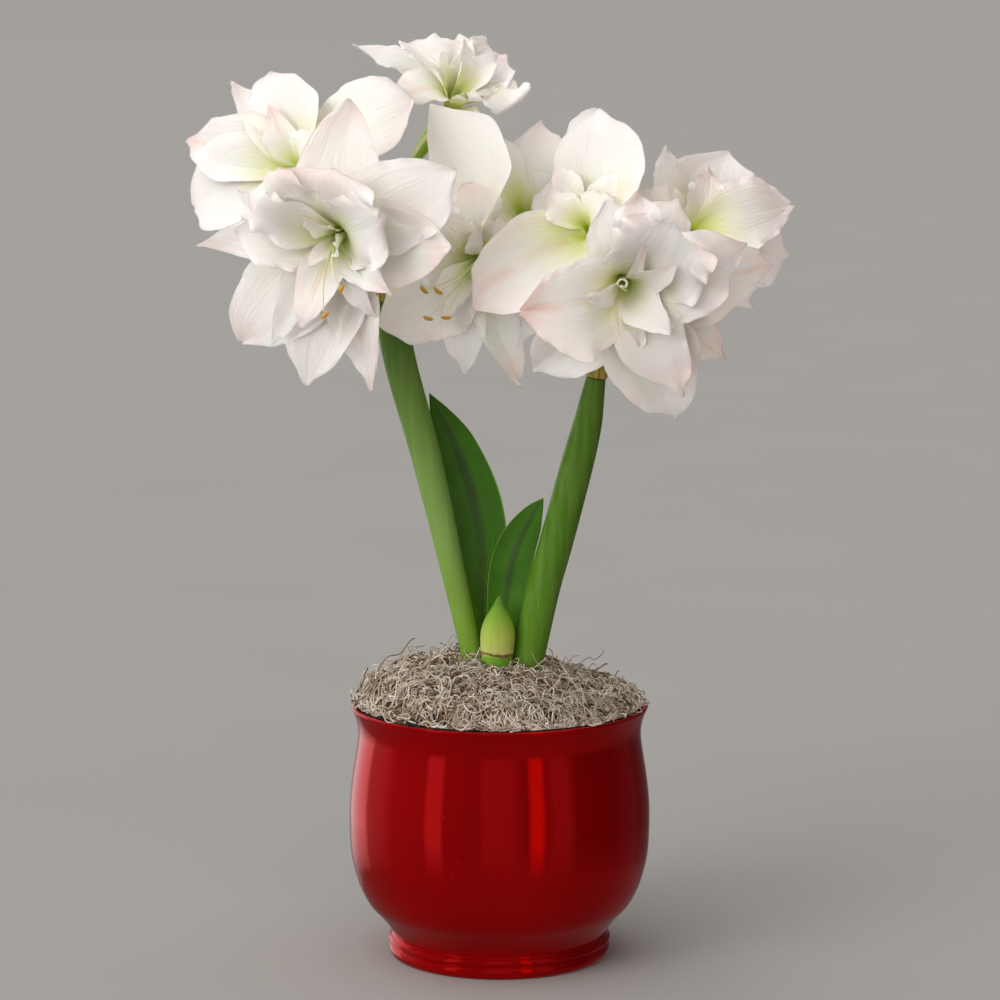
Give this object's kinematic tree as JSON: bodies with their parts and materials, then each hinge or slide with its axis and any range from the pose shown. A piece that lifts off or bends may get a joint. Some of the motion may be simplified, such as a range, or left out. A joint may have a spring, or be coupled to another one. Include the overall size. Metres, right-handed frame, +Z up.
{
  "type": "potted amaryllis",
  "caption": "Flowering amaryllis with double white blooms on two leaning stalks, growing from a mossed bulb in a red glazed ceramic pot.",
  "frame": {"origin": "centre of the pot's flat foot, on the surface that the pot stands on", "axes": "+Z up, -Y to the front that most blooms face, +X to the right seen from the front"},
  "size_m": [0.4189, 0.246, 0.6431],
  "materials": {
    "glaze": "gloss",
    "soil": "matte",
    "bulb": "satin",
    "moss": "matte",
    "stalk": "satin",
    "leaf": "satin",
    "bud": "satin",
    "bract": "matte",
    "petal": "satin"
  },
  "bodies": {
    "root": {"pot": "glaze", "potting_mix": "soil", "bulb": "bulb", "moss_mound": "moss", "scape_left": "stalk", "bracts_left": "bract", "scape_right": "stalk", "bracts_right": "bract", "leaf_tall": "leaf", "leaf_short": "leaf", "leaf_young": "leaf", "bud_young": "bud", "pedicel_left_front": "stalk", "bloom_left_front": "petal", "pedicel_left_side": "stalk", "bloom_left_side": "petal", "pedicel_left_top": "stalk", "bloom_left_top": "petal", "pedicel_left_inner": "stalk", "bloom_left_inner": "petal", "pedicel_right_front": "stalk", "bloom_right_front": "petal", "pedicel_right_side": "stalk", "bloom_right_side": "petal", "pedicel_right_back": "stalk", "bloom_right_back": "petal", "pedicel_right_inner": "stalk", "bloom_right_inner": "petal"}
  },
  "joints": []
}
